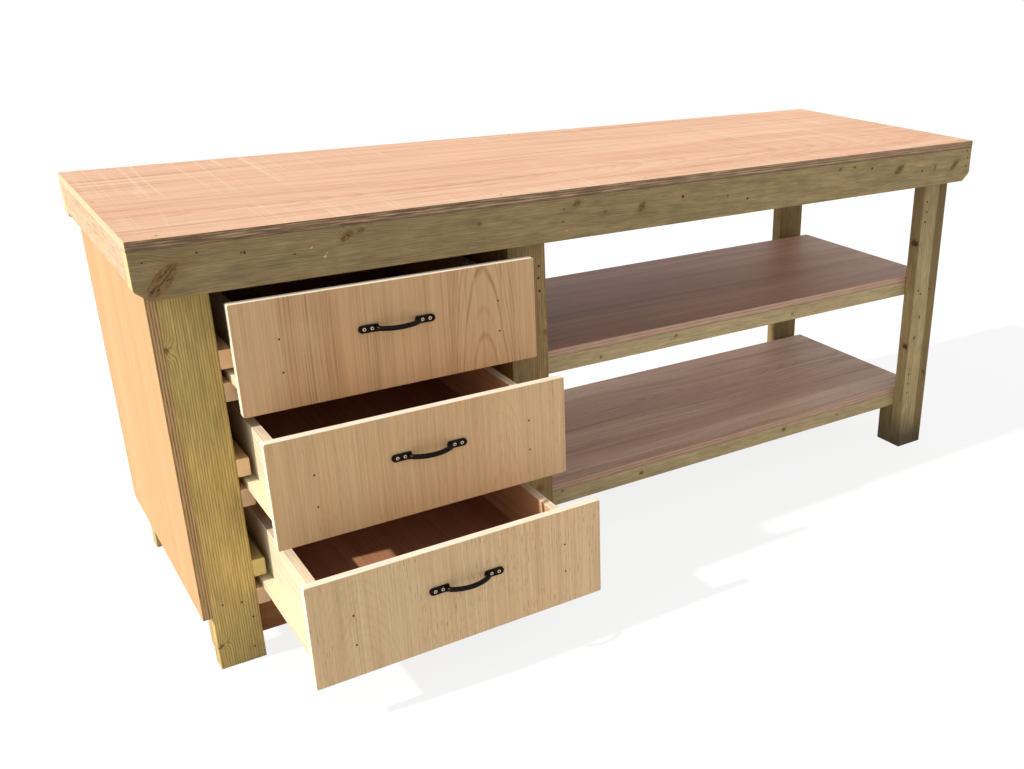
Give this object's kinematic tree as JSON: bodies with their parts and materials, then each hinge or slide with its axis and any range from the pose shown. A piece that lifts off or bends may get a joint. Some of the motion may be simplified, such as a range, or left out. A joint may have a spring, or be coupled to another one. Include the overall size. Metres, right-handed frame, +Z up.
{
  "type": "workbench",
  "caption": "Timber workbench with a plywood top, a stack of sliding drawers at the left and open shelves at the right.",
  "frame": {"origin": "on the floor at the middle of the bench's footprint, under the centre of the worktop", "axes": "+X to the right along the bench (the drawers are at -X), +Y from front to back, +Z up"},
  "size_m": [2.1, 1, 0.893],
  "materials": {
    "worktop_ply": "bare hardwood-faced plywood, fine straight grain",
    "frame_timber": "planed softwood, pressure treated, greenish brown",
    "panel_ply": "bare plywood",
    "kick_ply": "bare plywood",
    "shelf_ply": "brown hardwood-faced plywood",
    "drawer_ply": "bare plywood",
    "handle_iron": "black japanned iron, satin",
    "screw_zinc": "pale zinc plated"
  },
  "bodies": {
    "frame": {"worktop": "worktop_ply", "front_apron": "frame_timber", "rear_apron": "frame_timber", "end_rail_left": "frame_timber", "end_rail_right": "frame_timber", "cross_rail": "frame_timber", "leg_front_left": "frame_timber", "leg_front_middle": "frame_timber", "leg_front_right": "frame_timber", "leg_rear_left": "frame_timber", "leg_rear_middle": "frame_timber", "leg_rear_right": "frame_timber", "upper_shelf_front_rail": "frame_timber", "upper_shelf_rear_rail": "frame_timber", "lower_shelf_front_rail": "frame_timber", "lower_shelf_rear_rail": "frame_timber", "shelf_post_front": "frame_timber", "shelf_post_rear": "frame_timber", "runner_bottom_lower_left": "frame_timber", "runner_bottom_lower_right": "frame_timber", "runner_bottom_upper_left": "frame_timber", "runner_bottom_upper_right": "frame_timber", "runner_middle_lower_left": "frame_timber", "runner_middle_lower_right": "frame_timber", "runner_middle_upper_left": "frame_timber", "runner_middle_upper_right": "frame_timber", "runner_top_lower_left": "frame_timber", "runner_top_lower_right": "frame_timber", "runner_top_upper_left": "frame_timber", "runner_top_upper_right": "frame_timber", "side_panel": "panel_ply", "back_panel": "panel_ply", "divider_panel": "panel_ply", "kick_board": "kick_ply", "upper_shelf": "shelf_ply", "lower_shelf": "shelf_ply"},
    "drawer_bottom": {"drawer_bottom_front": "drawer_ply", "drawer_bottom_box_front": "drawer_ply", "drawer_bottom_box_back": "drawer_ply", "drawer_bottom_side_left": "drawer_ply", "drawer_bottom_side_right": "drawer_ply", "drawer_bottom_base": "drawer_ply", "drawer_bottom_handle": "handle_iron", "drawer_bottom_handle_screws": "screw_zinc"},
    "drawer_middle": {"drawer_middle_front": "drawer_ply", "drawer_middle_box_front": "drawer_ply", "drawer_middle_box_back": "drawer_ply", "drawer_middle_side_left": "drawer_ply", "drawer_middle_side_right": "drawer_ply", "drawer_middle_base": "drawer_ply", "drawer_middle_handle": "handle_iron", "drawer_middle_handle_screws": "screw_zinc"},
    "drawer_top": {"drawer_top_front": "drawer_ply", "drawer_top_box_front": "drawer_ply", "drawer_top_box_back": "drawer_ply", "drawer_top_side_left": "drawer_ply", "drawer_top_side_right": "drawer_ply", "drawer_top_base": "drawer_ply", "drawer_top_handle": "handle_iron", "drawer_top_handle_screws": "screw_zinc"}
  },
  "joints": [
    {"name": "drawer_bottom_slide", "type": "slide", "parent": "frame", "child": "drawer_bottom", "axis": [0, -1, 0], "range_m": [-0.29, 0.11]},
    {"name": "drawer_middle_slide", "type": "slide", "parent": "frame", "child": "drawer_middle", "axis": [0, -1, 0], "range_m": [-0.155, 0.245]},
    {"name": "drawer_top_slide", "type": "slide", "parent": "frame", "child": "drawer_top", "axis": [0, -1, 0], "range_m": [-0.042, 0.358]}
  ]
}
